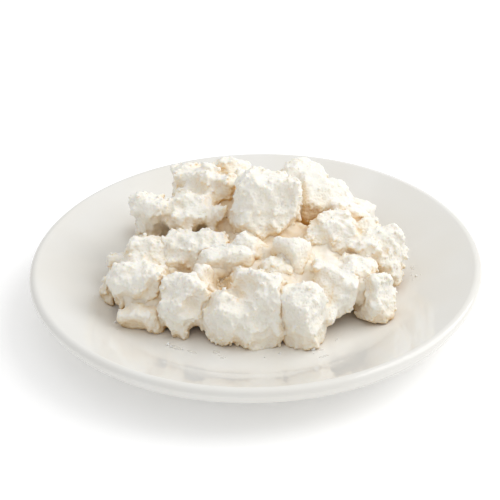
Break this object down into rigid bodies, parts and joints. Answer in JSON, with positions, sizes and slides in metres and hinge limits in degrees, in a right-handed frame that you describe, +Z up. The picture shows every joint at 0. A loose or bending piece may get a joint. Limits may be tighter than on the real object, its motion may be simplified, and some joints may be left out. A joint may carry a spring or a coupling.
{
  "type": "plate of crumbled goat cheese",
  "caption": "Shallow round white plate with a raised rim, holding a loose heap of crumbled soft goat cheese.",
  "frame": {"origin": "centre of the plate's foot ring, at the height of the table it stands on", "axes": "+Z up, -Y towards the picture's viewer, +X to the viewer's right"},
  "size_m": [0.18, 0.18, 0.0526],
  "materials": {
    "plate": "glossy white glazed porcelain",
    "goat_cheese": "moist, matte, creamy white fresh cheese with a torn, grainy surface"
  },
  "bodies": {
    "root": {"plate": "plate", "goat_cheese": "goat_cheese"}
  },
  "joints": []
}
